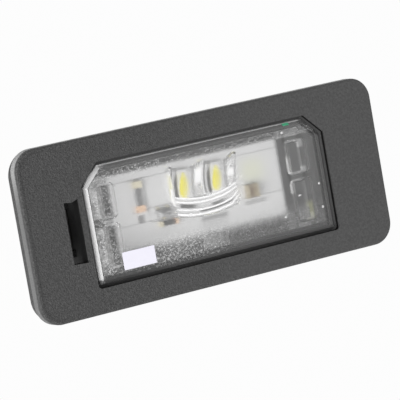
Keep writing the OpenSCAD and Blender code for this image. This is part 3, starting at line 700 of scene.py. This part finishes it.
def half_ball(turns=12, rises=4):
    """Half a ball of radius 1 with a flat floor.

    A point is (cos rise cos turn, cos rise sin turn, sin rise): a full turn at each rise, from
    the floor upwards, and then the top.
    """
    turn = np.linspace(0, 2 * np.pi, turns, endpoint=False)
    rise = np.linspace(0, np.pi / 2, rises, endpoint=False)
    rings = np.stack([
        np.outer(np.cos(rise), np.cos(turn)),
        np.outer(np.cos(rise), np.sin(turn)),
        np.outer(np.sin(rise), np.ones(turns)),
    ], -1).reshape(-1, 3)
    points = np.vstack([rings, (0, 0, 1)])
    k = np.arange(turns)
    after = np.roll(k, -1)
    starts = turns * np.arange(rises - 1)[:, None]
    quads = np.stack([starts + k, starts + after, starts + turns + after, starts + turns + k], -1)
    last = turns * (rises - 1)
    cap = np.stack([last + k, last + after, np.full(turns, turns * rises)], -1)
    return points, [k[::-1], *quads.reshape(-1, 4), *cap]


def dust():
    """Small pale specks on the lens: half-balls squashed flat."""
    # each speck's middle and half its width and height on the window
    specks = [
        (19.3, 9.7, 0.34, 0.3), (16.9, -7.35, 0.32, 0.26), (26.1, -2.15, 0.28, 0.28),
        (26.1, -7.05, 0.28, 0.28), (21.05, -3.65, 0.4, 0.2), (-7.9, 8.15, 0.2, 0.14),
    ]
    sunk, thick = 0.01, 0.08
    ball, ball_faces = half_ball()
    points, faces = [], []
    for number, (x, y, half_x, half_y) in enumerate(specks):
        points.append(ball * (half_x, half_y, thick) + (x, y, LENS_FACE - sunk))
        faces += [face + number * len(ball) for face in ball_faces]
    material = Finish("dust", base_color=grey(204), roughness=0.7).material
    add_piece("dust_specks", np.concatenate(points), faces, material, smooth=True)


blank_label()
dust()


# Room, light, camera.


def seen_as_white(tree):
    """1 for the rays that show the background itself, to the eye or in a mirror."""
    eye = add_node(tree, "ShaderNodeLightPath", {}, {}, "Is Camera Ray")
    mirror = add_node(tree, "ShaderNodeLightPath", {}, {}, "Is Glossy Ray")
    return eye.most(mirror)


def pale_floor():
    """A white floor that the camera and reflections see as plain white."""
    # half its side in metres, and how far it lies below the lamp in millimetres
    half, clearance = 3.0, 0.05
    height = (BODY_LOW[2] - clearance) * MM
    corners = [(-half, -half, height), (half, -half, height), (half, half, height), (-half, half, height)]
    mesh = bpy.data.meshes.new("floor")
    mesh.from_pydata(corners, [], [(0, 1, 2, 3)])
    floor = bpy.data.objects.new("floor", mesh)
    bpy.context.scene.collection.objects.link(floor)
    material = bpy.data.materials.new("floor")
    material.use_nodes = True
    tree = material.node_tree
    tree.nodes.remove(tree.nodes["Principled BSDF"])
    matte = add_node(tree, "ShaderNodeBsdfDiffuse", {}, {"Color": (0.85, 0.85, 0.85)})
    white = add_node(tree, "ShaderNodeEmission", {}, {"Color": (BACKGROUND,) * 3})
    above = add_node(tree, "ShaderNodeMixShader", {}, {0: seen_as_white(tree), 1: matte, 2: white})
    # from below the floor is not there, so that the lamp's back can be looked at
    from_below = add_node(tree, "ShaderNodeNewGeometry", {}, {}, "Backfacing")
    nothing = add_node(tree, "ShaderNodeBsdfTransparent", {}, {})
    surface = add_node(tree, "ShaderNodeMixShader", {}, {0: from_below, 1: above, 2: nothing})
    plug(tree, tree.nodes["Material Output"].inputs["Surface"], surface)
    mesh.materials.append(material)


def room_light(strength):
    """An even world that the camera sees as white."""
    world = bpy.data.worlds.new("room")
    bpy.context.scene.world = world
    world.use_nodes = True
    tree = world.node_tree
    tree.nodes.remove(tree.nodes["Background"])
    glow = add_node(tree, "ShaderNodeBackground", {}, {"Color": (1, 1, 1), "Strength": strength})
    shown = add_node(tree, "ShaderNodeBackground", {}, {"Color": (1, 1, 1), "Strength": BACKGROUND})
    surface = add_node(tree, "ShaderNodeMixShader", {}, {0: seen_as_white(tree), 1: glow, 2: shown})
    plug(tree, tree.nodes["World Output"].inputs["Surface"], surface)


def softbox(name, towards, distance, size, power):
    """A square light in the given direction from the lamp, facing it."""
    light = bpy.data.lights.new(name, "AREA")
    light.shape = "SQUARE"
    light.size = size
    light.energy = power
    box = bpy.data.objects.new(name, light)
    bpy.context.scene.collection.objects.link(box)
    way = Vector(towards).normalized()
    facing = way.to_track_quat("Z", "Y").to_matrix().to_4x4()
    box.matrix_world = Matrix.Translation(way * distance) @ facing


def photograph_camera():
    """The camera found from the bezel's four edges in the photograph."""
    data = bpy.data.cameras.new("camera")
    data.sensor_width = 36.0
    data.lens = 270.0
    data.clip_start = 0.01
    camera = bpy.data.objects.new("camera", data)
    bpy.context.scene.collection.objects.link(camera)
    place = (-0.30214, 0.06349, 0.52142)
    turn = Matrix((
        (0.84327, 0.20107, -0.49846),
        (-0.17132, 0.97957, 0.10531),
        (0.50945, -0.00341, 0.86049),
    ))
    camera.matrix_world = Matrix.Translation(place) @ turn.to_4x4()
    bpy.context.scene.camera = camera


pale_floor()
room_light(strength=0.3)
softbox("key", (-0.25, -0.35, 0.9), distance=0.9, size=1.2, power=5.2)
softbox("left", (-1.0, -0.1, 0.3), distance=0.6, size=0.5, power=5.2)
photograph_camera()
bpy.context.scene.view_settings.view_transform = "Standard"
